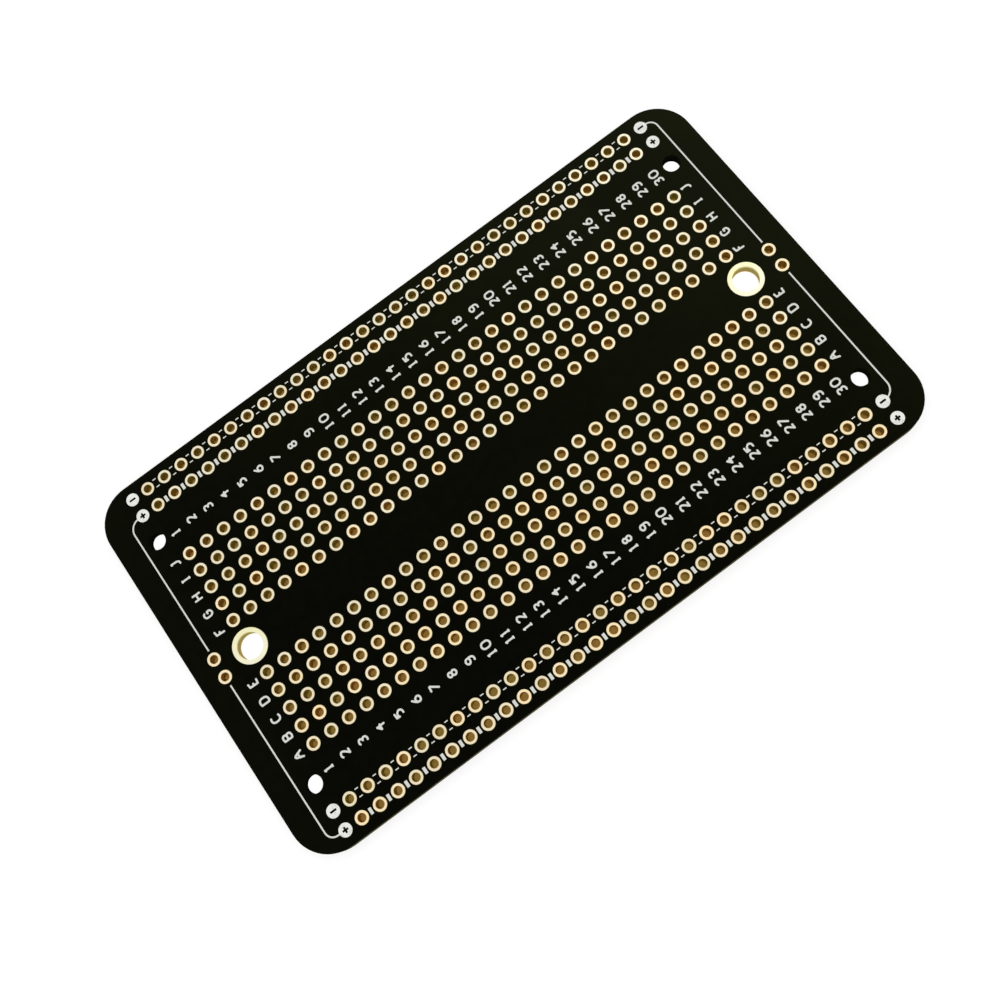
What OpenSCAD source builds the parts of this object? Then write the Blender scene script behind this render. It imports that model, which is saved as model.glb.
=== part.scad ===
// Prototype board for soldered circuits: a bare printed board with two blocks of
// five-hole strips, a pair of power rails along each long edge, and a printed legend.
// It lies flat, columns along X, rows A to J along Y and the printed face up.
// The origin is in the middle of the underside.

/* [Hole grid] */
// Distance between neighbouring holes, along the board and across it
pitch = 2.54; // [2.4:0.01:3]
// Columns of strips along the board
columns = 30; // [10:1:36]
// Holes that one strip joins
strip_holes = 5; // [3:1:6]
// Distance between the two innermost strip rows, across the middle
middle_gap = 7.62; // [7:0.01:12]
// Distance from an outermost strip row to the rail beside it
rail_gap = 7.62; // [6:0.01:10]
// Distance between the two rails of a pair
rail_spacing = 2.54; // [2.4:0.01:4]

/* [Board] */
// Finished thickness, measured over the plated pads
board_t = 1.6; // [0.8:0.1:2.4]
// From the end columns to the ends of the board
end_margin = 7.62; // [6.5:0.01:12]
// From the outer rails to the long edges
side_margin = 1.905; // [1.3:0.005:5]
// Radius of the four corners
corner_r = 5; // [1:0.5:8]

/* [Plated pads] */
// Hole through a pad
pad_hole_d = 1.08; // [0.8:0.01:1.2]
// Width of a pad's ring
pad_d = 1.65; // [1.45:0.01:1.8]
// Copper on the faces, foil and plating together
copper_t = 0.06; // [0.04:0.005:0.1]
// Copper on the wall of a hole
barrel_t = 0.035; // [0.025:0.005:0.05]

/* [Screw holes] */
// Hole for a screw, on the centre line of each end column
screw_hole_d = 3.3; // [2:0.1:3.6]
// Width of the plated ring round a screw hole
screw_ring_d = 4.4; // [4:0.1:5]

/* [Corner holes] */
// Bare hole between the strips and the rails, near each corner
corner_hole_d = 2.2; // [1:0.1:2.4]
// How far the bare holes lie beyond the end columns
corner_hole_offset = 2.54; // [2.2:0.01:3]

/* [Supply pads] */
// How far the supply pads lie beyond the end columns
supply_offset = 4.445; // [4.3:0.005:5]
// Distance between the two supply pads of one end
supply_spacing = 2.54; // [2.4:0.01:4]

/* [Tracks under the board] */
// Width of the track that joins the holes of a strip
strip_track_w = 0.8; // [0.4:0.05:1]
// Width of the track along a rail
rail_track_w = 1; // [0.5:0.05:1.2]
// Width of the track from a supply pad to its rail
supply_track_w = 0.9; // [0.5:0.05:1]
// Length of the slanting stretch where a supply track turns into its rail, along X and Y
track_bevel = 1.5; // [0.8:0.1:2.5]

/* [Solder mask] */
// Thickness of the mask, over laminate and copper alike
mask_t = 0.025; // [0.015:0.005:0.05]
// Bare laminate between a pad and the mask
mask_clearance = 0.05; // [0.03:0.01:0.1]

/* [Printed legend] */
// Thickness of the ink
ink_t = 0.02; // [0.01:0.005:0.03]
// Bars between the holes of a plus rail, measured across the rail
plus_bar_l = 0.82; // [0.6:0.01:1.2]
// Width of those bars, along the rail
plus_bar_w = 0.38; // [0.25:0.01:0.45]
// Dashes between the holes of a minus rail, measured along the rail
minus_dash_l = 0.46; // [0.3:0.01:0.55]
// Width of those dashes
minus_dash_w = 0.13; // [0.1:0.01:0.25]
// Distance between the middles of two dashes that lie side by side
minus_dash_spacing = 1.02; // [0.8:0.01:1.2]
// Discs that carry the polarity signs, in line with the rails
disc_d = 1.64; // [1.4:0.01:1.9]
// How far the left discs lie beyond the first column
left_disc_offset = 2.31; // [2.2:0.01:2.7]
// How far the right discs lie beyond the last column
right_disc_offset = 2.6; // [2.2:0.01:2.7]
// Width of the guide lines from the supply pads to the discs
guide_w = 0.19; // [0.15:0.01:0.35]
// Bare mask between a supply pad and its guide line
guide_clearance = 0.4; // [0.2:0.01:0.6]
// Radius at which the guide lines of the inner rails bend into their discs
inner_bend_r = 1.5; // [1.2:0.05:1.8]
// Radius at which the guide lines of the outer rails bend into their discs
outer_bend_r = 1.1; // [0.9:0.05:1.6]

/* [Hidden] */
$fn = 48;
pass = 1; // how far a cutting shape runs past what it cuts

// Places along the board and across it
end_x = (columns - 1) * pitch / 2;
inner_row_y = middle_gap / 2;
outer_row_y = inner_row_y + (strip_holes - 1) * pitch;
inner_rail_y = outer_row_y + rail_gap;
outer_rail_y = inner_rail_y + rail_spacing;
supply_x = end_x + supply_offset;
supply_y = supply_spacing / 2;
corner_hole_x = end_x + corner_hole_offset;
corner_hole_y = (outer_row_y + inner_rail_y) / 2;
board_l = 2 * (end_x + end_margin);
board_w = 2 * (outer_rail_y + side_margin);

// Heights, from the mask over the underside tracks up to the ink
tracks_z = mask_t;
laminate_z = tracks_z + copper_t;
laminate_t = board_t - 2 * copper_t;
laminate_top = laminate_z + laminate_t;
mask_top = laminate_top + mask_t;

ring_ends = [[-1, 0], [1, 0]];
column_numbers = [for (c = [1:columns]) c];
column_holes = [for (k = [0:strip_holes - 1]) inner_row_y + k * pitch];
both_ends = [-1, 1];
both_sides = [-1, 1];

// Each rail: its name, its height across the board, the end its supply pad is at, its sign
RAILS = [
    ["rail_top_minus", outer_rail_y, 1, "minus"],
    ["rail_top_plus", inner_rail_y, -1, "plus"],
    ["rail_bottom_minus", -inner_rail_y, 1, "minus"],
    ["rail_bottom_plus", -outer_rail_y, -1, "plus"],
];

function column_x(c) = (c - 1) * pitch - end_x;
function disc_x(end) = end_x + (end > 0 ? right_disc_offset : left_disc_offset);
function column_name(c) = str("column_", c < 10 ? "0" : "", c);

// Centres of the holes that one piece of copper joins, and of the gaps between a rail's holes
function strip_points(c, side) = [for (y = column_holes) [column_x(c), side * y]];
function rail_points(rail) = [for (c = column_numbers) [column_x(c), rail[1]]];
function gap_points(rail) = [for (c = [1:columns - 1]) [column_x(c) + pitch / 2, rail[1]]];
function supply_point(rail) = [rail[2] * supply_x, sign(rail[1]) * supply_y];

// Corners of the track from a supply pad to the nearest hole of its rail
function supply_path(rail) =
    let (across = sign(rail[1]), along = rail[2])
    [
        supply_point(rail),
        [along * supply_x, rail[1] - across * track_bevel],
        [along * (supply_x - track_bevel), rail[1]],
        [along * end_x, rail[1]],
    ];

PAD_POINTS = concat(
    [for (c = column_numbers, side = both_sides, p = strip_points(c, side)) p],
    [for (rail = RAILS, p = rail_points(rail)) p],
    [for (rail = RAILS) supply_point(rail)]
);
SCREW_POINTS = [for (s = both_ends) [s * end_x, 0]];
CORNER_POINTS = [for (s = both_ends, t = both_sides) [s * corner_hole_x, t * corner_hole_y]];
DISC_POINTS = [for (s = both_ends, rail = RAILS) [s * disc_x(s), rail[1]]];

// Flat shapes that the layers are cut from

module round_spots(points, d) {
    for (p = points) translate(p) circle(d = d);
}

module board_outline() {
    square([board_l - 2 * corner_r, board_w], center = true);
    square([board_l, board_w - 2 * corner_r], center = true);
    for (s = both_ends, t = both_sides)
        translate([s * (board_l / 2 - corner_r), t * (board_w / 2 - corner_r)])
            circle(r = corner_r);
}

// A straight track between two points, square at its ends
module track_stretch(a, b, w) {
    run = b - a;
    translate(a)
        rotate(atan2(run[1], run[0]))
            translate([0, -w / 2])
                square([norm(run), w]);
}

// A track through several points, rounded where it turns
module track(points, w) {
    for (i = [0:len(points) - 2]) track_stretch(points[i], points[i + 1], w);
    if (len(points) > 2)
        for (i = [1:len(points) - 2]) translate(points[i]) circle(d = w);
}

// The tracks of one strip and of one rail, each side made wider by extra
module strip_track(c, side, extra = 0) {
    holes = strip_points(c, side);
    track([holes[0], holes[len(holes) - 1]], strip_track_w + 2 * extra);
}

module rail_track(rail, extra = 0) {
    holes = rail_points(rail);
    track([holes[0], holes[len(holes) - 1]], rail_track_w + 2 * extra);
    track(supply_path(rail), supply_track_w + 2 * extra);
}

module all_tracks(extra = 0) {
    for (c = column_numbers, side = both_sides) strip_track(c, side, extra);
    for (rail = RAILS) rail_track(rail, extra);
}

// Every opening that a mask leaves, round the plated pads and the bare holes
module mask_openings() {
    round_spots(PAD_POINTS, pad_d + 2 * mask_clearance);
    round_spots(SCREW_POINTS, screw_ring_d + 2 * mask_clearance);
    round_spots(CORNER_POINTS, corner_hole_d + 2 * mask_clearance);
}

// Plated holes: a ring on each face, joined by the copper on the hole's wall

module plated_holes(points, hole_d, ring_d) {
    difference() {
        union() {
            translate([0, 0, tracks_z])
                linear_extrude(copper_t)
                    union() {
                        round_spots(points, ring_d);
                        children();
                    }
            translate([0, 0, laminate_z])
                linear_extrude(laminate_t)
                    round_spots(points, hole_d + 2 * barrel_t);
            translate([0, 0, laminate_top])
                linear_extrude(copper_t)
                    round_spots(points, ring_d);
        }
        translate([0, 0, -pass])
            linear_extrude(board_t + 2 * pass)
                round_spots(points, hole_d);
    }
}

// The laminate, drilled for every plated and bare hole
module laminate() {
    color("#8d8a4c")
        translate([0, 0, laminate_z])
            linear_extrude(laminate_t)
                difference() {
                    board_outline();
                    round_spots(PAD_POINTS, pad_hole_d + 2 * barrel_t);
                    round_spots(SCREW_POINTS, screw_hole_d + 2 * barrel_t);
                    round_spots(CORNER_POINTS, corner_hole_d);
                }
}

// The mask on the printed face, one even film
module solder_mask_top() {
    color("#15150f")
        translate([0, 0, laminate_top])
            linear_extrude(mask_t)
                difference() {
                    board_outline();
                    mask_openings();
                }
}

// The mask underneath follows the tracks, so each one shows as a low ridge
module solder_mask_bottom() {
    color("#15150f")
        difference() {
            union() {
                translate([0, 0, laminate_z - mask_t])
                    linear_extrude(mask_t)
                        board_outline();
                linear_extrude(laminate_z)
                    all_tracks(extra = mask_t);
            }
            translate([0, 0, tracks_z])
                linear_extrude(copper_t)
                    all_tracks();
            translate([0, 0, -pass])
                linear_extrude(laminate_z + pass)
                    mask_openings();
        }
}

// The two strips of one column, one in each block
module column_strips(c) {
    color("#e3cd98")
        for (side = both_sides)
            plated_holes(strip_points(c, side), pad_hole_d, pad_d)
                strip_track(c, side);
}

// One power rail with its supply pad
module power_rail(rail) {
    color("#e3cd98")
        plated_holes(concat(rail_points(rail), [supply_point(rail)]), pad_hole_d, pad_d)
            rail_track(rail);
}

module screw_ring(s) {
    color("#e9dca8")
        plated_holes([[s * end_x, 0]], screw_hole_d, screw_ring_d);
}

// Ink lies on the top mask
module ink() {
    color("#e6e6dd")
        translate([0, 0, mask_top])
            linear_extrude(ink_t)
                children();
}

// A line from beside a supply pad, along the end of the board and round to its disc,
// drawn in the right upper quarter of the board and turned over into its own
module guide_line(rail) {
    rail_y = abs(rail[1]);
    bend_r = rail_y > inner_rail_y ? outer_bend_r : inner_bend_r;
    start_y = supply_y + pad_d / 2 + guide_clearance;
    bend = [supply_x - bend_r, rail_y - bend_r];
    disc = [disc_x(rail[2]), rail_y];
    mirror([rail[2] < 0 ? 1 : 0, 0])
        mirror([0, rail[1] < 0 ? 1 : 0])
            difference() {
                union() {
                    translate([supply_x - guide_w / 2, start_y])
                        square([guide_w, bend[1] - start_y]);
                    translate(bend) quarter_ring(bend_r, guide_w);
                    track_stretch(disc, [bend[0], rail_y], guide_w);
                }
                translate(disc) circle(d = disc_d);
            }
}

// The quarter of a ring that lies up and to the right of its centre
module quarter_ring(r, w) {
    intersection() {
        difference() {
            circle(r = r + w / 2);
            circle(r = r - w / 2);
        }
        square(r + w);
    }
}

module guide_lines() {
    ink() for (rail = RAILS) guide_line(rail);
}

module polarity_discs() {
    ink() round_spots(DISC_POINTS, disc_d);
}

// A plus rail has one upright bar between neighbouring holes
module plus_rail_bars() {
    ink()
        for (rail = RAILS) if (rail[3] == "plus")
            for (p = gap_points(rail))
                translate(p) square([plus_bar_w, plus_bar_l], center = true);
}

// A minus rail has two short dashes between neighbouring holes, one above the other
module minus_rail_dashes() {
    ink()
        for (rail = RAILS) if (rail[3] == "minus")
            for (p = gap_points(rail), side = both_sides)
                translate(p + [0, side * minus_dash_spacing / 2])
                    square([minus_dash_l, minus_dash_w], center = true);
}

laminate();
solder_mask_top();
solder_mask_bottom();
for (c = column_numbers)
    column_strips(c);
for (rail = RAILS)
    power_rail(rail);
screw_ring(-1);  // screw_ring_left
screw_ring(1);  // screw_ring_right
guide_lines();
polarity_discs();
plus_rail_bars();
minus_rail_dashes();
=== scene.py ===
import math

import bpy
from mathutils import Matrix, Vector


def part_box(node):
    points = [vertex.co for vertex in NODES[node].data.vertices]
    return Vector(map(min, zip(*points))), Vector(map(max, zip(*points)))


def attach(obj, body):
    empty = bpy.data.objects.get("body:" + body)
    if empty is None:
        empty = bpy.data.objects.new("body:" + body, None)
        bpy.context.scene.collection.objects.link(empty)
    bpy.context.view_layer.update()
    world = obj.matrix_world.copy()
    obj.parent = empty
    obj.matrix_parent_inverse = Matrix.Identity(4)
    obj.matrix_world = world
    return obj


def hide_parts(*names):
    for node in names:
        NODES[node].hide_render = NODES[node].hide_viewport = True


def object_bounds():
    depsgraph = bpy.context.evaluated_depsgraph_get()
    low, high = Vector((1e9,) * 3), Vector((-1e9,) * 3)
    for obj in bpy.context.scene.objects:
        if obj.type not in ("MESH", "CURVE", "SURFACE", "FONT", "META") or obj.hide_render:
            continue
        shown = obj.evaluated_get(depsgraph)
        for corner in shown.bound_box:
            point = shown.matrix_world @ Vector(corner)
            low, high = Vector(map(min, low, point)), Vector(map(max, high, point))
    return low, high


bl_info = {
    "name": "Prototype Board",
    "version": (1, 0, 0),
    "blender": (4, 5, 0),
    "location": "View3D > Sidebar > Prototype Board",
    "description": "Finishes a bare prototype board: mask, gilt pads, printed legend and stage",
    "category": "Object",
}

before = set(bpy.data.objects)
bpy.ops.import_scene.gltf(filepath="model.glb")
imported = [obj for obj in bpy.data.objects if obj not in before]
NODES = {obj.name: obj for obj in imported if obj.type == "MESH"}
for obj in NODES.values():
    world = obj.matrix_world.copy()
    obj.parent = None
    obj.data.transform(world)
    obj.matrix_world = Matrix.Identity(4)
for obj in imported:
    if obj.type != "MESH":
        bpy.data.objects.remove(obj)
CAD_LOW, CAD_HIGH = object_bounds()

MM = 0.001  # the frame is in metres, the figures below are drawn in millimetres
BODY = "root"

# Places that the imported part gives
COLUMN_COUNT = 30
COLUMN_NODES = ["column_%02d" % number for number in range(1, COLUMN_COUNT + 1)]
RAIL_NODES = ["rail_top_minus", "rail_top_plus", "rail_bottom_minus", "rail_bottom_plus"]
RING_NODES = ["screw_ring_left", "screw_ring_right"]
INK_NODES = ["guide_lines", "plus_rail_bars", "minus_rail_dashes"]
MASK_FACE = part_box("solder_mask_top")[1].z
INK_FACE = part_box("guide_lines")[1].z
PAD_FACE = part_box("column_01")[1].z
LAMINATE_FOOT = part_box("laminate")[0].z


def column_x(number):
    """Middle of a column of strips along the board."""
    low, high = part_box(COLUMN_NODES[number - 1])
    return (low.x + high.x) / 2


PITCH = column_x(2) - column_x(1)
PAD_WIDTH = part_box("column_01")[1].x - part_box("column_01")[0].x
OUTER_ROW_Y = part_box("column_01")[1].y - PAD_WIDTH / 2
OUTER_RAIL_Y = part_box("rail_top_minus")[1].y - PAD_WIDTH / 2
DISC_WIDTH = 2 * (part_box("polarity_discs")[1].y - OUTER_RAIL_Y)
ROW_LETTERS = "ABCDEFGHIJ"
HOLES_IN_STRIP = len(ROW_LETTERS) // 2
SCREW_SPOT = (column_x(COLUMN_COUNT) / MM, 0.0)
CORNER_SPOT = (column_x(COLUMN_COUNT) / MM + PITCH / MM, (OUTER_ROW_Y + 1.5 * PITCH) / MM)

# How far from a hole's middle its wall and its sight of the floor reach, in millimetres
CORNER_WALL_REACH = 1.5
SCREW_SIGHT_REACH = 1.9
CORNER_SIGHT_REACH = 1.3

WEAVE_STEP = 0.55  # from thread to thread of the glass cloth, in millimetres
PEN_SIDES = 12
DISC_SIDES = 48
FLOOR_DROP = 0.02  # millimetres from the underside down to the floor

# Centre lines of the figures, in millimetres from the middle of each: right, then up


def bow(cx, cy, rx, ry, start, end, steps=8):
    """Points of an elliptical arc, in degrees."""
    points = []
    for k in range(steps + 1):
        angle = math.radians(start + (end - start) * k / steps)
        points.append((cx + rx * math.cos(angle), cy + ry * math.sin(angle)))
    return points


FIGURES = {
    "0": [bow(0, 0.17, 0.41, 0.41, 0, 180) + bow(0, -0.14, 0.41, 0.41, 180, 360) + [(0.41, 0.17)]],
    "1": [[(-0.36, 0.42), (-0.26, 0.49), (-0.24, -0.55)], [(-0.32, -0.55), (-0.16, -0.55)]],
    "2": [
        [(-0.27, 0.43), (-0.19, 0.5), (0, 0.54), (0.21, 0.48), (0.35, 0.34), (0.32, 0.12)]
        + [(0.2, -0.07), (-0.22, -0.55), (0.24, -0.56)]
    ],
    "3": [
        [(-0.26, 0.53), (-0.12, 0.58), (0.11, 0.54), (0.24, 0.44), (0.27, 0.27), (0.18, 0.1), (0, 0.04)],
        [(0, 0.04), (0.2, -0.04), (0.27, -0.18), (0.26, -0.32), (0.2, -0.43), (0.08, -0.51)]
        + [(-0.07, -0.54), (-0.23, -0.51)],
    ],
    "4": [[(0.17, -0.48), (0.13, 0.43), (-0.3, 0.04), (0.3, 0)], [(0.05, 0.26), (-0.1, 0.1), (0.08, 0.1)]],
    "5": [
        [(0.15, 0.51), (-0.36, 0.48), (-0.38, 0.1), (-0.17, 0.26), (0.15, 0.11), (0.3, -0.1)]
        + [(0.31, -0.26), (0.24, -0.42), (0.1, -0.52), (-0.18, -0.54)]
    ],
    "6": [
        [(0.21, 0.5), (-0.06, 0.26), (-0.25, 0.02), (-0.32, -0.28), (-0.27, -0.42), (-0.15, -0.51)]
        + [(0.1, -0.55), (0.28, -0.47), (0.37, -0.34), (0.37, -0.18), (0.24, 0.03), (0.04, 0.11), (-0.22, 0)]
    ],
    "7": [[(-0.22, 0.58), (0.28, 0.53), (0.33, 0.44), (-0.31, -0.44)]],
    "8": [bow(0, 0.26, 0.28, 0.26, 0, 360, 12), bow(0, -0.27, 0.31, 0.29, 0, 360, 12)],
    "9": [
        [(0.32, 0.32), (0.22, 0.46), (0.02, 0.54), (-0.2, 0.47), (-0.32, 0.32), (-0.32, 0.16)]
        + [(-0.2, 0.02), (0.05, -0.05), (0.3, 0.02)],
        [(0.33, 0.3), (0.35, -0.19), (0.3, -0.42), (0.16, -0.56), (-0.04, -0.6), (-0.2, -0.57)],
    ],
    "A": [[(-0.42, -0.42), (-0.14, 0.4), (0, 0.5), (0.12, 0.42), (0.4, -0.38)], [(-0.3, 0.03), (0.27, 0.08)]],
    "B": [
        [(-0.35, -0.45), (-0.34, 0.5), (-0.09, 0.56), (0.19, 0.52), (0.31, 0.38), (0.3, 0.12)]
        + [(0.16, 0.02), (-0.3, 0.02)],
        [(0.1, 0.01), (0.27, -0.05), (0.33, -0.2), (0.31, -0.38), (0.21, -0.5), (-0.05, -0.57)]
        + [(-0.33, -0.5)],
    ],
    "C": [
        [(0.26, 0.5), (0.1, 0.55), (-0.09, 0.54), (-0.24, 0.47), (-0.34, 0.34), (-0.39, 0.14)]
        + [(-0.38, -0.18), (-0.31, -0.39), (-0.18, -0.51), (-0.02, -0.56), (0.15, -0.55), (0.26, -0.5)]
    ],
    "D": [
        [(-0.36, -0.52), (-0.36, 0.48), (-0.07, 0.55), (0.16, 0.51), (0.31, 0.4), (0.4, 0.17)]
        + [(0.38, -0.23), (0.29, -0.45), (0.08, -0.58), (-0.19, -0.6), (-0.36, -0.52)]
    ],
    "E": [[(0.14, 0.59), (-0.28, 0.52), (-0.31, -0.52), (0.18, -0.58)], [(-0.3, 0), (-0.08, 0)]],
    "F": [[(0.18, 0.59), (-0.29, 0.51), (-0.35, -0.5)], [(-0.3, 0.02), (-0.1, 0.02)]],
    "G": [
        [(0.28, 0.42), (0.19, 0.52), (0.01, 0.56), (-0.18, 0.51), (-0.32, 0.38), (-0.36, 0.17)]
        + [(-0.33, -0.25), (-0.22, -0.45), (-0.08, -0.53), (0.12, -0.52), (0.33, -0.38), (0.38, -0.18)]
        + [(0.33, 0.02), (0.14, 0)]
    ],
    "H": [[(-0.35, -0.46), (-0.34, 0.44)], [(0.38, -0.46), (0.39, 0.46)], [(-0.35, 0), (0.38, 0)]],
    "I": [[(0.15, -0.5), (0.16, 0.52)], [(0.09, 0.5), (0.22, 0.5)], [(0.09, -0.5), (0.21, -0.5)]],
    "J": [
        [(0.14, 0.5), (0.24, 0.53), (0.22, -0.19), (0.15, -0.38), (0.04, -0.5), (-0.06, -0.55)]
        + [(-0.19, -0.54)]
    ],
}


# Sizes and colours that can be changed


class LegendSizes(bpy.types.PropertyGroup):
    """Sizes and places of the printed figures, letters and signs."""

    stroke: bpy.props.FloatProperty(
        name="Stroke",
        description="Width of the printed line that figures and letters are drawn with",
        default=0.000245,
        min=0.0001,
        max=0.0004,
        precision=6,
        unit="LENGTH",
    )
    first_figure: bpy.props.FloatProperty(
        name="First figure",
        description="From the middle of a line of numbers to the first of two figures",
        default=-0.0006,
        precision=6,
        unit="LENGTH",
    )
    figure_step: bpy.props.FloatProperty(
        name="Figure step",
        description="From the first figure of a column number to the second",
        default=0.00115,
        min=0.0008,
        max=0.0016,
        precision=6,
        unit="LENGTH",
    )
    narrow_step: bpy.props.FloatProperty(
        name="Narrow step",
        description="The same after a narrow first figure",
        default=0.00097,
        min=0.0006,
        max=0.0016,
        precision=6,
        unit="LENGTH",
    )
    upper_line: bpy.props.FloatProperty(
        name="Upper numbers",
        description="How far the middle of the upper column numbers lies from the board's centre line",
        default=0.01745,
        precision=6,
        unit="LENGTH",
    )
    lower_line: bpy.props.FloatProperty(
        name="Lower numbers",
        description="How far the middle of the lower column numbers lies from the board's centre line",
        default=-0.01709,
        precision=6,
        unit="LENGTH",
    )
    upper_shift: bpy.props.FloatProperty(
        name="Upper shift",
        description="How far the upper numbers are printed beside the middle of their columns",
        default=-0.000065,
        precision=6,
        unit="LENGTH",
    )
    lower_shift: bpy.props.FloatProperty(
        name="Lower shift",
        description="How far the lower numbers are printed beside the middle of their columns",
        default=-0.000115,
        precision=6,
        unit="LENGTH",
    )
    left_letters: bpy.props.FloatProperty(
        name="Left letters",
        description="Place of the left row letters along the board",
        default=-0.03895,
        precision=6,
        unit="LENGTH",
    )
    right_letters: bpy.props.FloatProperty(
        name="Right letters",
        description="Place of the right row letters along the board",
        default=0.03874,
        precision=6,
        unit="LENGTH",
    )
    left_shift: bpy.props.FloatProperty(
        name="Left shift",
        description="How far the left letters are printed beside the middle of their rows",
        default=-0.000095,
        precision=6,
        unit="LENGTH",
    )
    right_shift: bpy.props.FloatProperty(
        name="Right shift",
        description="How far the right letters are printed beside the middle of their rows",
        default=0.00005,
        precision=6,
        unit="LENGTH",
    )
    plus_sign: bpy.props.FloatProperty(
        name="Plus sign",
        description="Length of each bar of the plus signs",
        default=0.00076,
        precision=6,
        unit="LENGTH",
    )
    minus_sign: bpy.props.FloatProperty(
        name="Minus sign",
        description="Length of the minus signs",
        default=0.00085,
        precision=6,
        unit="LENGTH",
    )
    sign_bar: bpy.props.FloatProperty(
        name="Sign bar",
        description="Width of the bars of the polarity signs",
        default=0.00026,
        precision=6,
        unit="LENGTH",
    )


class BoardColours(bpy.types.PropertyGroup):
    """Colours of the board's finishes."""

    mask_deep: bpy.props.FloatVectorProperty(
        name="Mask, deep",
        description="Darkest tone of the black solder mask",
        default=(0.0011, 0.0013, 0.0002),
        min=0,
        max=1,
        subtype="COLOR",
    )
    # the pale tone is also the colour of the painted sheen on the printed face
    mask_pale: bpy.props.FloatVectorProperty(
        name="Mask, pale",
        description="Lightest tone of the black solder mask",
        default=(0.0061, 0.0073, 0.0018),
        min=0,
        max=1,
        subtype="COLOR",
    )
    gilt_pale: bpy.props.FloatVectorProperty(
        name="Gilt, pale",
        description="Palest tone of the gilding on the pads",
        default=(0.8, 0.765, 0.595),
        min=0,
        max=1,
        subtype="COLOR",
    )
    gilt_warm: bpy.props.FloatVectorProperty(
        name="Gilt, warm",
        description="Warmest tone of the gilding on the pads",
        default=(0.895, 0.725, 0.445),
        min=0,
        max=1,
        subtype="COLOR",
    )
    # the hole tones are partly duller plating, partly painted shade of the recess
    gilt_hole: bpy.props.FloatVectorProperty(
        name="Gilt, holes",
        description="Tone of the gilding down on the walls of the holes",
        default=(0.54, 0.375, 0.125),
        min=0,
        max=1,
        subtype="COLOR",
    )
    ring_pale: bpy.props.FloatVectorProperty(
        name="Screw ring, pale",
        description="Palest tone of the gilding on the rings round the screw holes",
        default=(0.865, 0.84, 0.65),
        min=0,
        max=1,
        subtype="COLOR",
    )
    ring_warm: bpy.props.FloatVectorProperty(
        name="Screw ring, warm",
        description="Warmest tone of the gilding on the rings round the screw holes",
        default=(0.83, 0.785, 0.46),
        min=0,
        max=1,
        subtype="COLOR",
    )
    ring_hole: bpy.props.FloatVectorProperty(
        name="Screw ring, hole",
        description="Tone of the gilding down on the walls of the screw holes",
        default=(0.36, 0.245, 0.085),
        min=0,
        max=1,
        subtype="COLOR",
    )
    ink_white: bpy.props.FloatVectorProperty(
        name="Ink",
        description="White of the printed legend where the ink is thick",
        default=(0.71, 0.72, 0.67),
        min=0,
        max=1,
        subtype="COLOR",
    )
    ink_thin: bpy.props.FloatVectorProperty(
        name="Ink, thin",
        description="Tone of the printed legend where the ink is thin",
        default=(0.545, 0.555, 0.51),
        min=0,
        max=1,
        subtype="COLOR",
    )
    resin: bpy.props.FloatVectorProperty(
        name="Laminate resin",
        description="Tone of the resin between the glass layers, seen at the cut edges",
        default=(0.04, 0.035, 0.014),
        min=0,
        max=1,
        subtype="COLOR",
    )
    glass: bpy.props.FloatVectorProperty(
        name="Laminate glass",
        description="Tone of the glass layers, seen at the cut edges",
        default=(0.115, 0.103, 0.05),
        min=0,
        max=1,
        subtype="COLOR",
    )
    floor: bpy.props.FloatVectorProperty(
        name="Floor",
        description="Tone of the floor that the board lies on",
        default=(0.97, 0.97, 0.97),
        min=0,
        max=1,
        subtype="COLOR",
    )
    floor_shade: bpy.props.FloatVectorProperty(
        name="Floor in shade",
        description="Tone of the floor under the drilled rows, where the board shades it",
        default=(0.9, 0.63, 0.2),
        min=0,
        max=1,
        subtype="COLOR",
    )


class StageSizes(bpy.types.PropertyGroup):
    """Camera, floor and light."""

    camera_place: bpy.props.FloatVectorProperty(
        name="Camera place",
        description="Where the camera stands",
        default=(-0.00615, -0.0381, 0.131825),
        precision=5,
        subtype="TRANSLATION",
    )
    camera_turn: bpy.props.FloatVectorProperty(
        name="Camera turn",
        description="How the camera is turned",
        default=(math.radians(12.751), math.radians(7.565), math.radians(-35.857)),
        precision=5,
        subtype="EULER",
    )
    camera_lens: bpy.props.FloatProperty(
        name="Camera lens",
        description="Focal length of the camera in millimetres, on a sensor 36 mm wide",
        default=40.954,
        min=10,
        max=200,
    )
    floor_width: bpy.props.FloatProperty(
        name="Floor width",
        description="Width of the square floor",
        default=6,
        min=1,
        max=50,
        unit="LENGTH",
    )
    dome_level: bpy.props.FloatProperty(
        name="Dome level",
        description="Strength of the soft white dome of light",
        default=1.11,
        min=0,
        max=3,
    )


# Small helpers for the modelling steps


def deselect_all():
    bpy.ops.object.select_all(action="DESELECT")


def take(piece):
    """Makes one object the only selected and active one."""
    deselect_all()
    piece.select_set(True)
    bpy.context.view_layer.objects.active = piece


def apply_modifier(piece, modifier):
    take(piece)
    bpy.ops.object.modifier_apply(modifier=modifier.name)


def settle(piece):
    """Puts a piece's place, turn and size into its mesh."""
    take(piece)
    bpy.ops.object.transform_apply(location=True, rotation=True, scale=True)


def copy_at(template, name, matrix):
    """A copy of a modelled piece with its own mesh, moved by a matrix."""
    piece = template.copy()
    piece.data = template.data.copy()
    piece.name = name
    bpy.context.scene.collection.objects.link(piece)
    piece.matrix_world = matrix
    return piece


def join_as(pieces, name):
    """Joins pieces into one object at the origin."""
    deselect_all()
    for piece in pieces:
        piece.select_set(True)
    bpy.context.view_layer.objects.active = pieces[0]
    bpy.ops.object.join()
    joined = bpy.context.view_layer.objects.active
    settle(joined)
    joined.name = name
    joined.data.name = name
    return joined


def remove(piece):
    bpy.data.objects.remove(piece)


def dress(node, material):
    """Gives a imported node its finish."""
    for material_slot in NODES[node].material_slots:
        material_slot.material = material


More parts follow.
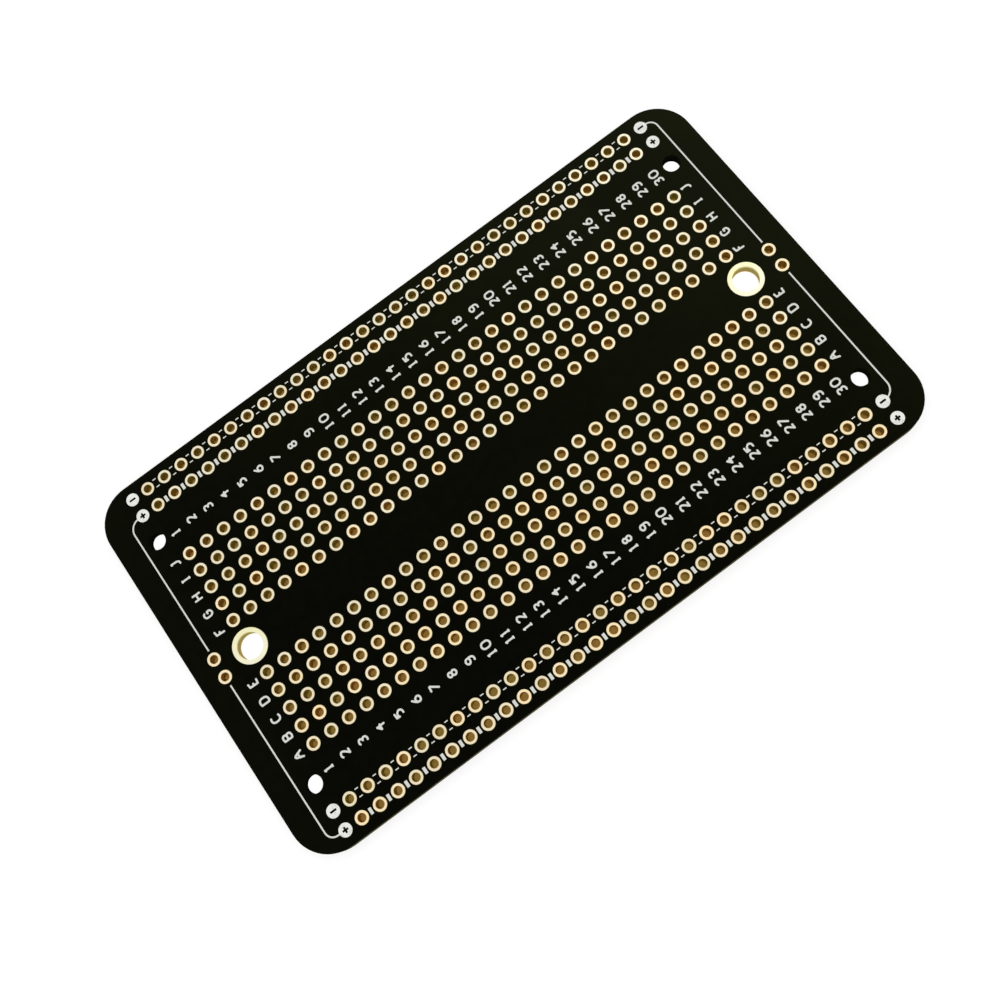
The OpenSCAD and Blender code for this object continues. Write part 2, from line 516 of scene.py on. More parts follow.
def finish_ink_piece(piece, material):
    """Gives a printed piece its material and its place on the board."""
    piece.data.materials.clear()
    piece.data.materials.append(material)
    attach(piece, BODY)


# Node groups that several finishes share


def group_sockets(tree, inputs, outputs):
    """Names a group's inputs and outputs and returns its two end nodes."""
    for name, kind, value in inputs:
        socket = tree.interface.new_socket(name=name, in_out="INPUT", socket_type=kind)
        if value is not None:
            socket.default_value = value
    for name, kind in outputs:
        tree.interface.new_socket(name=name, in_out="OUTPUT", socket_type=kind)
    return tree.nodes.new("NodeGroupInput"), tree.nodes.new("NodeGroupOutput")


def math_node(tree, operation, first, second):
    """A math node; each side is a number or a socket."""
    node = tree.nodes.new("ShaderNodeMath")
    node.operation = operation
    for socket, value in zip(node.inputs, (first, second)):
        if isinstance(value, (int, float)):
            socket.default_value = value
        else:
            tree.links.new(value, socket)
    return node.outputs["Value"]


def span_node(tree, value, low, high, to_low=0.0, to_high=1.0):
    """Maps a value from one span to another, held at the ends."""
    node = tree.nodes.new("ShaderNodeMapRange")
    node.interpolation_type = "SMOOTHSTEP"
    tree.links.new(value, node.inputs["Value"])
    node.inputs["From Min"].default_value = low
    node.inputs["From Max"].default_value = high
    node.inputs["To Min"].default_value = to_low
    node.inputs["To Max"].default_value = to_high
    return node.outputs["Result"]


MIX_FIRST = 6
MIX_SECOND = 7
MIX_RESULT = 2


def mix_node(tree, factor, first, second):
    """Mixes two colours; each is a colour or a socket."""
    node = tree.nodes.new("ShaderNodeMix")
    node.data_type = "RGBA"
    if isinstance(factor, (int, float)):
        node.inputs["Factor"].default_value = factor
    else:
        tree.links.new(factor, node.inputs["Factor"])
    for key, value in ((MIX_FIRST, first), (MIX_SECOND, second)):
        if isinstance(value, bpy.types.NodeSocket):
            tree.links.new(value, node.inputs[key])
        else:
            node.inputs[key].default_value = (*value[:3], 1)
    return node.outputs[MIX_RESULT]


def noise_node(tree, vector, scale, detail=2.0, roughness=0.5):
    node = tree.nodes.new("ShaderNodeTexNoise")
    tree.links.new(vector, node.inputs["Vector"])
    if isinstance(scale, (int, float)):
        node.inputs["Scale"].default_value = scale
    else:
        tree.links.new(scale, node.inputs["Scale"])
    node.inputs["Detail"].default_value = detail
    node.inputs["Roughness"].default_value = roughness
    return node.outputs["Fac"]


def tone_drift_group():
    """Slow changes of tone across a surface, from 0 to 1."""
    tree = bpy.data.node_groups.new("Tone drift", "ShaderNodeTree")
    start, end = group_sockets(
        tree,
        [("Vector", "NodeSocketVector", None), ("Scale", "NodeSocketFloat", 0.1)],
        [("Tone", "NodeSocketFloat")],
    )
    noise = noise_node(tree, start.outputs["Vector"], start.outputs["Scale"], 3.0, 0.55)
    tree.links.new(span_node(tree, noise, 0.34, 0.66), end.inputs["Tone"])
    return tree


def fine_grain_group():
    """Two sizes of fine unevenness for a bump."""
    tree = bpy.data.node_groups.new("Fine grain", "ShaderNodeTree")
    start, end = group_sockets(
        tree,
        [("Vector", "NodeSocketVector", None), ("Scale", "NodeSocketFloat", 3.0)],
        [("Height", "NodeSocketFloat")],
    )
    vector = start.outputs["Vector"]
    scale = start.outputs["Scale"]
    coarse = noise_node(tree, vector, scale, 2.0)
    fine = noise_node(tree, vector, math_node(tree, "MULTIPLY", scale, 4.3), 2.0)
    height = math_node(tree, "ADD", coarse, math_node(tree, "MULTIPLY", fine, 0.3))
    tree.links.new(height, end.inputs["Height"])
    return tree


def hairlines_group():
    """Sparse fine handling marks, 1 on a mark and 0 between."""
    tree = bpy.data.node_groups.new("Hairlines", "ShaderNodeTree")
    start, end = group_sockets(
        tree,
        [
            ("Vector", "NodeSocketVector", None),
            ("Scale", "NodeSocketFloat", 0.15),
            ("Width", "NodeSocketFloat", 0.004),
        ],
        [("Mark", "NodeSocketFloat")],
    )
    vector = start.outputs["Vector"]
    lines = noise_node(tree, vector, start.outputs["Scale"], 1.0)
    off_line = math_node(tree, "ABSOLUTE", math_node(tree, "SUBTRACT", lines, 0.5), 0.0)
    on_line = math_node(tree, "LESS_THAN", off_line, start.outputs["Width"])
    patches = noise_node(tree, vector, math_node(tree, "MULTIPLY", start.outputs["Scale"], 3.1), 1.0)
    here = span_node(tree, patches, 0.56, 0.66)
    tree.links.new(math_node(tree, "MULTIPLY", on_line, here), end.inputs["Mark"])
    return tree


def pad_lot_group():
    """One chance value for each cell of the hole grid, so each pad differs a little."""
    tree = bpy.data.node_groups.new("Pad lot", "ShaderNodeTree")
    start, end = group_sockets(
        tree,
        [("Vector", "NodeSocketVector", None), ("Pitch", "NodeSocketFloat", 2.54)],
        [("First", "NodeSocketFloat"), ("Second", "NodeSocketFloat")],
    )
    step = tree.nodes.new("ShaderNodeCombineXYZ")
    for axis in "XYZ":
        tree.links.new(start.outputs["Pitch"], step.inputs[axis])
    snap = tree.nodes.new("ShaderNodeVectorMath")
    snap.operation = "SNAP"
    tree.links.new(start.outputs["Vector"], snap.inputs[0])
    tree.links.new(step.outputs["Vector"], snap.inputs[1])
    chance = tree.nodes.new("ShaderNodeTexWhiteNoise")
    chance.noise_dimensions = "3D"
    tree.links.new(snap.outputs["Vector"], chance.inputs["Vector"])
    split = tree.nodes.new("ShaderNodeSeparateColor")
    tree.links.new(chance.outputs["Color"], split.inputs["Color"])
    tree.links.new(split.outputs["Red"], end.inputs["First"])
    tree.links.new(split.outputs["Green"], end.inputs["Second"])
    return tree


SHARED_GROUPS = {
    "Tone drift": tone_drift_group,
    "Fine grain": fine_grain_group,
    "Hairlines": hairlines_group,
    "Pad lot": pad_lot_group,
}


def shared_group(tree, name, vector, **values):
    """Places a shared node group in a material and returns the node."""
    if name not in bpy.data.node_groups:
        SHARED_GROUPS[name]()
    node = tree.nodes.new("ShaderNodeGroup")
    node.node_tree = bpy.data.node_groups[name]
    tree.links.new(vector, node.inputs["Vector"])
    for key, value in values.items():
        node.inputs[key].default_value = value
    return node


# Materials

FULL_INK = "White ink, full"
FINE_INK = "White ink, fine lines"
INK_LEAST = {FULL_INK: 0.0, FINE_INK: 0.8}


def new_finish(name, roughness, metallic=0.0, specular=0.5):
    """A material with a Principled shader and a place read in millimetres."""
    material = bpy.data.materials.new(name)
    material.use_nodes = True
    tree = material.node_tree
    tree.nodes.clear()
    output = tree.nodes.new("ShaderNodeOutputMaterial")
    shader = tree.nodes.new("ShaderNodeBsdfPrincipled")
    shader.inputs["Roughness"].default_value = roughness
    shader.inputs["Metallic"].default_value = metallic
    shader.inputs["Specular IOR Level"].default_value = specular
    tree.links.new(shader.outputs["BSDF"], output.inputs["Surface"])
    place = tree.nodes.new("ShaderNodeTexCoord")
    in_mm = tree.nodes.new("ShaderNodeMapping")
    in_mm.inputs["Scale"].default_value = (1 / MM, 1 / MM, 1 / MM)
    tree.links.new(place.outputs["Object"], in_mm.inputs["Vector"])
    return material, tree, shader, in_mm.outputs["Vector"]


def height_of(tree, vector):
    """The height above the board's underside, in millimetres."""
    split = tree.nodes.new("ShaderNodeSeparateXYZ")
    tree.links.new(vector, split.inputs["Vector"])
    return split.outputs["Z"]


def stretched(tree, vector, scale):
    """The place, stretched along its axes."""
    node = tree.nodes.new("ShaderNodeMapping")
    node.inputs["Scale"].default_value = scale
    tree.links.new(vector, node.inputs["Vector"])
    return node.outputs["Vector"]


def bump(tree, shader, height, distance_mm, strength=1.0):
    node = tree.nodes.new("ShaderNodeBump")
    node.inputs["Strength"].default_value = strength
    node.inputs["Distance"].default_value = distance_mm * MM
    tree.links.new(height, node.inputs["Height"])
    tree.links.new(node.outputs["Normal"], shader.inputs["Normal"])


def weave_height(tree, vector, step_mm):
    """The glass cloth that shows faintly through the mask: two crossed sets of ripples."""
    heights = []
    for direction in ("X", "Y"):
        wave = tree.nodes.new("ShaderNodeTexWave")
        wave.wave_type = "BANDS"
        wave.bands_direction = direction
        wave.inputs["Scale"].default_value = 0.314 / step_mm
        wave.inputs["Distortion"].default_value = 0.6
        wave.inputs["Detail"].default_value = 1.0
        tree.links.new(vector, wave.inputs["Vector"])
        heights.append(wave.outputs["Fac"])
    return math_node(tree, "MULTIPLY", heights[0], heights[1])


def folded(tree, vector):
    """The distances from the board's two middle lines."""
    fold = tree.nodes.new("ShaderNodeVectorMath")
    fold.operation = "ABSOLUTE"
    tree.links.new(vector, fold.inputs[0])
    split = tree.nodes.new("ShaderNodeSeparateXYZ")
    tree.links.new(fold.outputs["Vector"], split.inputs["Vector"])
    return split.outputs["X"], split.outputs["Y"]


def near_spot(tree, x, y, spot, reach):
    """1 within reach of a spot, all in millimetres."""
    off_x = math_node(tree, "SUBTRACT", x, spot[0])
    off_y = math_node(tree, "SUBTRACT", y, spot[1])
    square = math_node(
        tree,
        "ADD",
        math_node(tree, "MULTIPLY", off_x, off_x),
        math_node(tree, "MULTIPLY", off_y, off_y),
    )
    return math_node(tree, "LESS_THAN", square, reach * reach)


def mask_finish(colours, name, tracks_below):
    """Black solder mask with a soft gloss; on the printed face a painted sheen pales it towards one corner
    and both ends; underneath, copper shows through it a little.
    """
    material, tree, shader, place = new_finish(name, 0.3, specular=0.015)
    drift = shared_group(tree, "Tone drift", place, Scale=0.045).outputs["Tone"]
    mottle = shared_group(tree, "Tone drift", place, Scale=0.7).outputs["Tone"]
    if tracks_below:
        lean = drift
    else:
        # painted sheen: the printed face grows paler from one corner to the opposite one
        sheen_slant = tree.nodes.new("ShaderNodeVectorMath")
        sheen_slant.operation = "DOT_PRODUCT"
        tree.links.new(place, sheen_slant.inputs[0])
        sheen_slant.inputs[1].default_value = (0.52 * MM / CAD_HIGH.x, 0.4 * MM / CAD_HIGH.y, 0)
        corner = span_node(tree, sheen_slant.outputs["Value"], -0.4, 1.25)
        lean = math_node(tree, "MULTIPLY", corner, span_node(tree, drift, 0, 1, 0.8, 1.2))
        # more painted sheen: paler towards both ends of the board
        sheen_at_ends = span_node(tree, folded(tree, place)[0], CAD_HIGH.x / MM - 9, CAD_HIGH.x / MM - 1, 0, 0.15)
        lean = math_node(tree, "ADD", lean, sheen_at_ends)
    mottled = math_node(tree, "MULTIPLY", mottle, 0.08)
    tone = math_node(tree, "ADD", math_node(tree, "MULTIPLY", lean, 0.92), mottled)
    colour = mix_node(tree, tone, colours.mask_deep, colours.mask_pale)
    if tracks_below:
        over_track = span_node(tree, height_of(tree, place), 0.045, 0.01)
        lifted = [4.0 * value for value in colours.mask_pale]
        colour = mix_node(tree, over_track, colour, lifted)
    tree.links.new(colour, shader.inputs["Base Color"])
    marks = shared_group(tree, "Hairlines", place, Scale=0.12, Width=0.0025).outputs["Mark"]
    sheen = span_node(tree, mottle, 0.0, 1.0, 0.26, 0.34)
    tree.links.new(
        math_node(tree, "ADD", sheen, math_node(tree, "MULTIPLY", marks, 0.12)),
        shader.inputs["Roughness"],
    )
    grain = shared_group(tree, "Fine grain", place, Scale=2.6).outputs["Height"]
    weave = math_node(tree, "MULTIPLY", weave_height(tree, place, WEAVE_STEP), 0.5)
    height = math_node(tree, "ADD", grain, weave)
    bump(tree, shader, height, 0.004, 0.6)
    return material


def gilt_finish(name, pale, warm, hole, roughness, is_ring):
    """Gold over nickel: each pad a little different; each ring with painted shade across it, darker at the
    top; both browner down in the hole, partly duller plating and partly painted shade.
    """
    material, tree, shader, place = new_finish(name, roughness, metallic=1.0)
    shader.inputs["Specular Tint"].default_value = (0.95, 0.8, 0.45, 1)
    across = tree.nodes.new("ShaderNodeSeparateXYZ")
    tree.links.new(place, across.inputs["Vector"])
    if is_ring:
        first = shared_group(tree, "Tone drift", place, Scale=0.5).outputs["Tone"]
        second = shared_group(tree, "Tone drift", place, Scale=0.9).outputs["Tone"]
        # painted shade: each screw ring is darker and warmer towards the top, paler towards the bottom
        drift = span_node(tree, across.outputs["Y"], -2.2, 2.2)
        shares = (0.25, 0.75, 0.3)
        reach = 0.6
    else:
        lot = shared_group(tree, "Pad lot", place, Pitch=PITCH / MM)
        first = lot.outputs["First"]
        second = lot.outputs["Second"]
        drift = span_node(tree, across.outputs["Y"], CAD_HIGH.y / MM, -CAD_HIGH.y / MM)
        shares = (0.75, 0.45, 0.55)
        reach = 0.3
    warmth = math_node(
        tree,
        "ADD",
        math_node(tree, "MULTIPLY", first, shares[0]),
        math_node(tree, "MULTIPLY", drift, shares[1]),
    )
    colour = mix_node(tree, warmth, pale, warm)
    dull = [0.82 * value for value in pale]
    colour = mix_node(tree, math_node(tree, "MULTIPLY", second, shares[2]), colour, dull)
    speckle = shared_group(tree, "Tone drift", place, Scale=5.0).outputs["Tone"]
    spotted = [0.7 * value for value in warm]
    colour = mix_node(tree, math_node(tree, "MULTIPLY", speckle, 0.1), colour, spotted)
    height = height_of(tree, place)
    # down in the hole the base colour turns to the darker hole tone: partly duller plating, partly painted
    # shade of the recess
    below_lip = span_node(tree, height, PAD_FACE / MM - 0.04, PAD_FACE / MM - reach)
    above_foot = span_node(tree, height, LAMINATE_FOOT / MM, LAMINATE_FOOT / MM + 0.1)
    in_hole = math_node(tree, "MULTIPLY", below_lip, above_foot)
    olive = (0.85 * hole[0], 1.15 * hole[1], 1.2 * hole[2])
    shaded_wall = mix_node(tree, second, hole, olive)
    colour = mix_node(tree, in_hole, colour, shaded_wall)
    tree.links.new(colour, shader.inputs["Base Color"])
    worn = span_node(tree, speckle, 0, 1, roughness - 0.05, roughness + 0.06)
    tree.links.new(
        math_node(tree, "ADD", worn, math_node(tree, "MULTIPLY", in_hole, 0.06)),
        shader.inputs["Roughness"],
    )
    grain = shared_group(tree, "Fine grain", place, Scale=9.0).outputs["Height"]
    bump(tree, shader, grain, 0.003, 0.5)
    return material


def ink_finish(colours, name, least):
    """White screen-printed ink, thinner in spots and slightly pebbled; a fine line holds less of it."""
    material, tree, shader, place = new_finish(name, 0.55, specular=0.35)
    thin = shared_group(tree, "Tone drift", place, Scale=1.6).outputs["Tone"]
    pores = shared_group(tree, "Tone drift", place, Scale=7.0).outputs["Tone"]
    amount = span_node(tree, math_node(tree, "MULTIPLY", thin, pores), 0, 1, least, 1)
    tree.links.new(mix_node(tree, amount, colours.ink_white, colours.ink_thin), shader.inputs["Base Color"])
    tree.links.new(span_node(tree, pores, 0, 1, 0.48, 0.62), shader.inputs["Roughness"])
    grain = shared_group(tree, "Fine grain", place, Scale=5.0).outputs["Height"]
    bump(tree, shader, grain, 0.004, 0.6)
    return material


def laminate_finish(colours):
    """Glass-fibre laminate: layers of cloth in resin, cut through at the edges and holes; the walls of the
    corner holes darkened with painted shade.
    """
    material, tree, shader, place = new_finish("Glass fibre laminate", 0.7, specular=0.0)
    layers = noise_node(tree, stretched(tree, place, (0.35, 0.35, 7.0)), 1.0, 3.0, 0.6)
    threads = noise_node(tree, stretched(tree, place, (3.0, 3.0, 9.0)), 1.0, 2.0)
    threaded = math_node(tree, "MULTIPLY", threads, 0.35)
    tone = math_node(tree, "ADD", math_node(tree, "MULTIPLY", layers, 0.65), threaded)
    cloth = span_node(tree, tone, 0.38, 0.62)
    colour = mix_node(tree, cloth, colours.resin, colours.glass)
    x, y = folded(tree, place)
    # painted shade: the walls of the corner holes are darkened nearly to black
    drilled = near_spot(tree, x, y, CORNER_SPOT, CORNER_WALL_REACH)
    painted_wall_shade = [0.1 * value for value in colours.resin]
    colour = mix_node(tree, math_node(tree, "MULTIPLY", drilled, 0.97), colour, painted_wall_shade)
    tree.links.new(colour, shader.inputs["Base Color"])
    tree.links.new(span_node(tree, cloth, 0, 1, 0.6, 0.8), shader.inputs["Roughness"])
    bump(tree, shader, tone, 0.02, 0.7)
    return material


# One operator for each group of like pieces


class BOARD_OT_finish_laminate(bpy.types.Operator):
    """Give the laminate its layered glass-fibre finish"""

    bl_idname = "board.finish_laminate"
    bl_label = "Finish Laminate"

    def execute(self, context):
        dress("laminate", laminate_finish(context.scene.board_colours))
        return {"FINISHED"}


class BOARD_OT_coat_mask(bpy.types.Operator):
    """Give both faces their black solder mask"""

    bl_idname = "board.coat_mask"
    bl_label = "Coat Solder Mask"

    def execute(self, context):
        colours = context.scene.board_colours
        dress("solder_mask_top", mask_finish(colours, "Solder mask, printed face", False))
        dress("solder_mask_bottom", mask_finish(colours, "Solder mask, underside", True))
        return {"FINISHED"}


class BOARD_OT_gild_copper(bpy.types.Operator):
    """Gild the strips, rails and screw rings"""

    bl_idname = "board.gild_copper"
    bl_label = "Gild Copper"

    def execute(self, context):
        colours = context.scene.board_colours
        pads = gilt_finish("Gilt pads", colours.gilt_pale, colours.gilt_warm, colours.gilt_hole, 0.45, False)
        rings = gilt_finish(
            "Gilt screw rings", colours.ring_pale, colours.ring_warm, colours.ring_hole, 0.4, True
        )
        for node in COLUMN_NODES + RAIL_NODES:
            dress(node, pads)
        for node in RING_NODES:
            dress(node, rings)
        return {"FINISHED"}


def shared_ink(context, name):
    """One of the legend's two inks, made once."""
    made = bpy.data.materials.get(name)
    return made or ink_finish(context.scene.board_colours, name, INK_LEAST[name])


class BOARD_OT_print_lines(bpy.types.Operator):
    """Give the guide lines and rail marks their white ink"""

    bl_idname = "board.print_lines"
    bl_label = "Print Lines"

    def execute(self, context):
        for node in INK_NODES:
            dress(node, shared_ink(context, FINE_INK))
        return {"FINISHED"}


def disc_with_sign(cutters, name):
    """A disc of ink at the origin, in metres, with a sign left bare in it."""
    depth = INK_FACE - MASK_FACE
    deselect_all()
    bpy.ops.mesh.primitive_cylinder_add(vertices=DISC_SIDES, radius=DISC_WIDTH / 2, depth=depth)
    disc = bpy.context.active_object
    disc.name = name
    for length, width in cutters:
        deselect_all()
        bpy.ops.mesh.primitive_cube_add(size=1, scale=(length, width, 4 * depth))
        bar = bpy.context.active_object
        settle(bar)
        cut = disc.modifiers.new("sign", "BOOLEAN")
        cut.operation = "DIFFERENCE"
        cut.solver = "EXACT"
        cut.object = bar
        apply_modifier(disc, cut)
        remove(bar)
    return disc


class BOARD_OT_print_discs(bpy.types.Operator):
    """Print the eight discs with their plus and minus signs"""

    bl_idname = "board.print_discs"
    bl_label = "Print Polarity Discs"

    def execute(self, context):
        sizes = context.scene.board_legend
        long_bar = (sizes.plus_sign, sizes.sign_bar)
        cross_bar = (sizes.sign_bar, sizes.plus_sign)
        plus = disc_with_sign([long_bar, cross_bar], "plus_disc")
        minus = disc_with_sign([(sizes.minus_sign, sizes.sign_bar)], "minus_disc")
        low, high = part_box("polarity_discs")
        height = (MASK_FACE + INK_FACE) / 2
        inner_rail_y = OUTER_RAIL_Y - PITCH
        rows = [(OUTER_RAIL_Y, minus), (inner_rail_y, plus), (-inner_rail_y, minus), (-OUTER_RAIL_Y, plus)]
        printed = []
        for x in (low.x + DISC_WIDTH / 2, high.x - DISC_WIDTH / 2):
            for y, template in rows:
                place = Matrix.Translation((x, y, height))
                printed.append(copy_at(template, "disc", place))
        remove(plus)
        remove(minus)
        discs = join_as(printed, "printed_polarity_discs")
        finish_ink_piece(discs, shared_ink(context, FULL_INK))
        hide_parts("polarity_discs")
        return {"FINISHED"}


def pen_stroke(start, end, width, depth):
    """Adds one round-ended stroke to the mesh in edit mode, in millimetres."""
    run = Vector(end) - Vector(start)
    angle = math.atan2(run.y, run.x)
    bpy.ops.mesh.select_all(action="DESELECT")
    bpy.ops.mesh.primitive_cylinder_add(
        vertices=PEN_SIDES, radius=width / 2, depth=depth, rotation=(0, 0, math.pi / PEN_SIDES)
    )
    # the half of the disc that faces the end is drawn out to it
    mesh = bpy.context.edit_object.data
    bpy.ops.object.mode_set(mode="OBJECT")
    picked = [v for v in mesh.vertices if v.select]
    turn = Matrix.Rotation(angle, 3, "Z")
    for vertex in picked:
        place = vertex.co.copy()
        if place.x > 0:
            place.x += run.length
        vertex.co = turn @ place + Vector((*start, 0))
    bpy.ops.object.mode_set(mode="EDIT")


def draw_figure(name, stroke, depth):
    """Models one figure or letter at the origin, in millimetres, as one flat solid of ink."""
    deselect_all()
    mesh = bpy.data.meshes.new("figure_" + name)
    figure = bpy.data.objects.new("figure_" + name, mesh)
    bpy.context.scene.collection.objects.link(figure)
    take(figure)
    bpy.ops.object.mode_set(mode="EDIT")
    for line in FIGURES[name]:
        for start, end in zip(line, line[1:]):
            pen_stroke(start, end, stroke, depth)
    bpy.ops.mesh.select_all(action="SELECT")
    bpy.ops.mesh.intersect_boolean(operation="UNION", use_self=True, solver="EXACT")
    bpy.ops.mesh.select_all(action="SELECT")
    bpy.ops.mesh.dissolve_limited(angle_limit=math.radians(4))
    bpy.ops.object.mode_set(mode="OBJECT")
    return figure


def set_down(figures, sign, x, y, prints):
    """Prints one figure that reads along the board's Y axis, its middle at x, y."""
    place = Matrix.Translation((x, y, (MASK_FACE + INK_FACE) / 2))
    place = place @ Matrix.Rotation(math.pi / 2, 4, "Z") @ Matrix.Scale(MM, 4)
    prints.append(copy_at(figures[sign], "print", place))


class BOARD_OT_print_numbers(bpy.types.Operator):
    """Print both lines of column numbers"""

    bl_idname = "board.print_numbers"
    bl_label = "Print Column Numbers"

    def execute(self, context):
        sizes = context.scene.board_legend
        depth = (INK_FACE - MASK_FACE) / MM
        figures = {sign: draw_figure(sign, sizes.stroke / MM, depth) for sign in "0123456789"}
        lines = (
            ("upper", sizes.upper_line, sizes.upper_shift),
            ("lower", sizes.lower_line, sizes.lower_shift),
        )
        for name, y, shift in lines:
            prints = []
            for number in range(1, COLUMN_COUNT + 1):
                text = str(number)
                x = column_x(number) + shift
                if len(text) == 1:
                    set_down(figures, text, x, y, prints)
                else:
                    first = y + sizes.first_figure
                    step = sizes.narrow_step if text[0] == "1" else sizes.figure_step
                    set_down(figures, text[0], x, first, prints)
                    set_down(figures, text[1], x, first + step, prints)
            line = join_as(prints, "column_numbers_" + name)
            finish_ink_piece(line, shared_ink(context, FINE_INK))
        for figure in figures.values():
            remove(figure)
        return {"FINISHED"}


class BOARD_OT_print_letters(bpy.types.Operator):
    """Print the row letters at both ends"""

    bl_idname = "board.print_letters"
    bl_label = "Print Row Letters"

    def execute(self, context):
        sizes = context.scene.board_legend
        depth = (INK_FACE - MASK_FACE) / MM
        figures = {sign: draw_figure(sign, sizes.stroke / MM, depth) for sign in ROW_LETTERS}
        sides = (
            ("left", sizes.left_letters, sizes.left_shift),
            ("right", sizes.right_letters, sizes.right_shift),
        )
        for name, x, shift in sides:
            prints = []
            for row, letter in enumerate(ROW_LETTERS):
                in_strip = row % HOLES_IN_STRIP
                if row < HOLES_IN_STRIP:
                    y = in_strip * PITCH - OUTER_ROW_Y
                else:
                    y = OUTER_ROW_Y - (HOLES_IN_STRIP - 1 - in_strip) * PITCH
                set_down(figures, letter, x, y + shift, prints)
            line = join_as(prints, "row_letters_" + name)
            finish_ink_piece(line, shared_ink(context, FINE_INK))
        for figure in figures.values():
            remove(figure)
        return {"FINISHED"}


def floor_finish(colours):
    """White paper, lifted to clean white where the camera sees it, with a trace of the board's shadow; under
    the drilled rows painted with a warm shade, and under the screw and corner holes lifted to white with
    painted light.
    """
    material = bpy.data.materials.new("Pale floor")
    material.use_nodes = True
    tree = material.node_tree
    tree.nodes.clear()
    output = tree.nodes.new("ShaderNodeOutputMaterial")
    place = tree.nodes.new("ShaderNodeTexCoord")
    x, y = folded(tree, stretched(tree, place.outputs["Object"], (1 / MM,) * 3))
    # painted shade: under the board, away from the screw and corner holes, the paper takes the warm shade
    # colour and gets no glow
    below_x = math_node(tree, "LESS_THAN", x, CAD_HIGH.x / MM - 2)
    below_y = math_node(tree, "LESS_THAN", y, CAD_HIGH.y / MM - 1)
    below = math_node(tree, "MULTIPLY", below_x, below_y)
    at_screw = near_spot(tree, x, y, SCREW_SPOT, SCREW_SIGHT_REACH)
    at_corner = near_spot(tree, x, y, CORNER_SPOT, CORNER_SIGHT_REACH)
    at_opening = math_node(tree, "ADD", at_screw, at_corner)
    shaded = math_node(tree, "MULTIPLY", below, math_node(tree, "SUBTRACT", 1.0, at_opening))
    paper = tree.nodes.new("ShaderNodeBsdfDiffuse")
    tree.links.new(mix_node(tree, shaded, colours.floor, colours.floor_shade), paper.inputs["Color"])
    glow = tree.nodes.new("ShaderNodeEmission")
    glow.inputs["Strength"].default_value = 1.02
    view = tree.nodes.new("ShaderNodeLightPath")
    direct = view.outputs["Is Camera Ray"]
    for kind in ("Is Glossy Ray", "Is Transmission Ray"):
        direct = math_node(tree, "MAXIMUM", direct, view.outputs[kind])
    # painted light: where the screw and corner holes open onto the paper it glows nearly to full white for
    # the camera
    lifted = math_node(tree, "ADD", math_node(tree, "MULTIPLY", at_opening, 0.25), 0.72)
    lifted = math_node(tree, "MULTIPLY", lifted, math_node(tree, "SUBTRACT", 1.0, shaded))
    lift = tree.nodes.new("ShaderNodeMixShader")
    tree.links.new(math_node(tree, "MULTIPLY", direct, lifted), lift.inputs["Fac"])
    tree.links.new(paper.outputs["BSDF"], lift.inputs[1])
    tree.links.new(glow.outputs["Emission"], lift.inputs[2])
    clear = tree.nodes.new("ShaderNodeBsdfTransparent")
    # seen from below the floor is clear, and it stays clear for the light of that view
    side = tree.nodes.new("ShaderNodeNewGeometry")
    came_through = math_node(tree, "GREATER_THAN", view.outputs["Transparent Depth"], 0.5)
    from_below = math_node(tree, "MAXIMUM", side.outputs["Backfacing"], came_through)
    choice = tree.nodes.new("ShaderNodeMixShader")
    tree.links.new(from_below, choice.inputs["Fac"])
    tree.links.new(lift.outputs["Shader"], choice.inputs[1])
    tree.links.new(clear.outputs["BSDF"], choice.inputs[2])
    tree.links.new(choice.outputs["Shader"], output.inputs["Surface"])
    return material


def light_dome(level):
    """A white dome, a little darker overhead, where the camera stands, and underneath."""
    world = bpy.data.worlds.new("Light dome")
    bpy.context.scene.world = world
    world.use_nodes = True
    tree = world.node_tree
    tree.nodes.clear()
    output = tree.nodes.new("ShaderNodeOutputWorld")
    dome = tree.nodes.new("ShaderNodeBackground")
    where = tree.nodes.new("ShaderNodeTexCoord")
    split = tree.nodes.new("ShaderNodeSeparateXYZ")
    ramp = tree.nodes.new("ShaderNodeValToRGB")
    stops = ramp.color_ramp.elements
    stops[0].position = 0.0
    stops[0].color = (0.9, 0.9, 0.9, 1)
    stops[1].position = 1.0
    stops[1].color = (0.9, 0.9, 0.9, 1)
    for position in (0.4, 0.85):
        stops.new(position).color = (1, 1, 1, 1)
    tree.links.new(where.outputs["Generated"], split.inputs["Vector"])
    tree.links.new(split.outputs["Z"], ramp.inputs["Fac"])
    tree.links.new(ramp.outputs["Color"], dome.inputs["Color"])
    dome.inputs["Strength"].default_value = level
    tree.links.new(dome.outputs["Background"], output.inputs["Surface"])


def soft_lamp(name, place, width, power):
    """A square soft lamp that faces the board."""
    bpy.ops.object.light_add(type="AREA", location=place)
    lamp = bpy.context.active_object
    lamp.name = name
    lamp.data.size = width
    lamp.data.energy = power
    lamp.rotation_euler = Vector(place).to_track_quat("Z", "Y").to_euler()


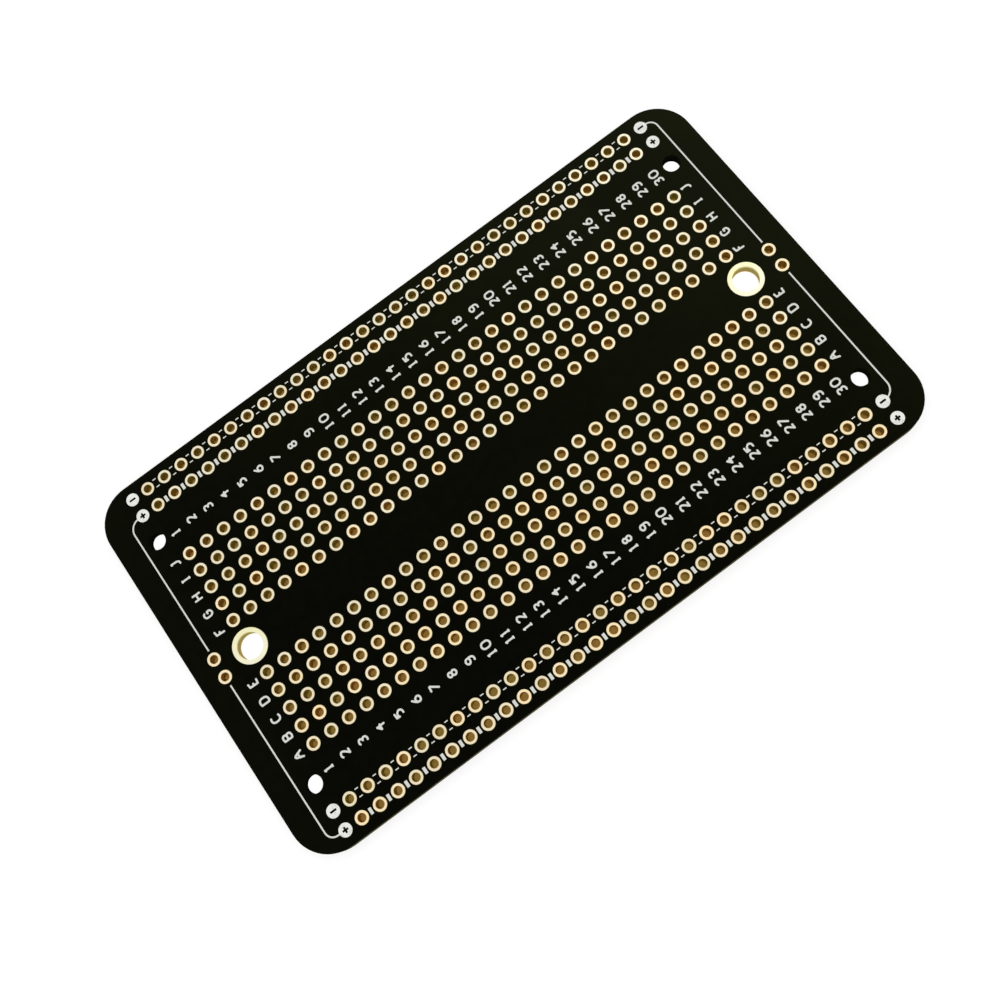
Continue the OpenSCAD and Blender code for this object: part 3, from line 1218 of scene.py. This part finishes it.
class BOARD_OT_set_stage(bpy.types.Operator):
    """Set the floor, the lights and the camera"""

    bl_idname = "board.set_stage"
    bl_label = "Set Stage"

    def execute(self, context):
        stage = context.scene.board_stage
        deselect_all()
        place = (0, 0, -FLOOR_DROP * MM)
        bpy.ops.mesh.primitive_plane_add(size=stage.floor_width, location=place)
        floor = context.active_object
        floor.name = "floor"
        settle(floor)
        floor.data.materials.append(floor_finish(context.scene.board_colours))
        light_dome(stage.dome_level)
        deselect_all()
        soft_lamp("key_lamp", (0.32, 0.38, 0.72), 0.28, 0.3)
        soft_lamp("fill_lamp", (-0.55, -0.1, 0.5), 0.45, 0.4)
        view = bpy.data.cameras.new("photo_camera")
        view.lens = stage.camera_lens
        view.sensor_width = 36
        view.clip_start = 0.005
        camera = bpy.data.objects.new("photo_camera", view)
        context.scene.collection.objects.link(camera)
        camera.location = stage.camera_place
        camera.rotation_euler = stage.camera_turn
        context.scene.camera = camera
        context.scene.view_settings.view_transform = "Standard"
        return {"FINISHED"}


class VIEW3D_PT_prototype_board(bpy.types.Panel):
    """Sizes, colours and steps of the prototype board"""

    bl_label = "Prototype Board"
    bl_space_type = "VIEW_3D"
    bl_region_type = "UI"
    bl_category = "Prototype Board"

    def draw(self, context):
        layout = self.layout
        for title, group in (
            ("Legend", context.scene.board_legend),
            ("Colours", context.scene.board_colours),
            ("Stage", context.scene.board_stage),
        ):
            box = layout.box()
            box.label(text=title)
            for key in group.__annotations__:
                box.prop(group, key)
        for step in STEPS:
            layout.operator(step.bl_idname)


STEPS = [
    BOARD_OT_set_stage,
    BOARD_OT_finish_laminate,
    BOARD_OT_coat_mask,
    BOARD_OT_gild_copper,
    BOARD_OT_print_lines,
    BOARD_OT_print_discs,
    BOARD_OT_print_numbers,
    BOARD_OT_print_letters,
]
CLASSES = [LegendSizes, BoardColours, StageSizes, *STEPS, VIEW3D_PT_prototype_board]


def register():
    for cls in CLASSES:
        bpy.utils.register_class(cls)
    bpy.types.Scene.board_legend = bpy.props.PointerProperty(type=LegendSizes)
    bpy.types.Scene.board_colours = bpy.props.PointerProperty(type=BoardColours)
    bpy.types.Scene.board_stage = bpy.props.PointerProperty(type=StageSizes)


def unregister():
    del bpy.types.Scene.board_stage
    del bpy.types.Scene.board_colours
    del bpy.types.Scene.board_legend
    for cls in reversed(CLASSES):
        bpy.utils.unregister_class(cls)


def main():
    register()
    bpy.ops.board.set_stage()
    bpy.ops.board.finish_laminate()
    bpy.ops.board.coat_mask()
    bpy.ops.board.gild_copper()
    bpy.ops.board.print_lines()
    bpy.ops.board.print_discs()
    bpy.ops.board.print_numbers()
    bpy.ops.board.print_letters()


if __name__ == "__main__":
    main()
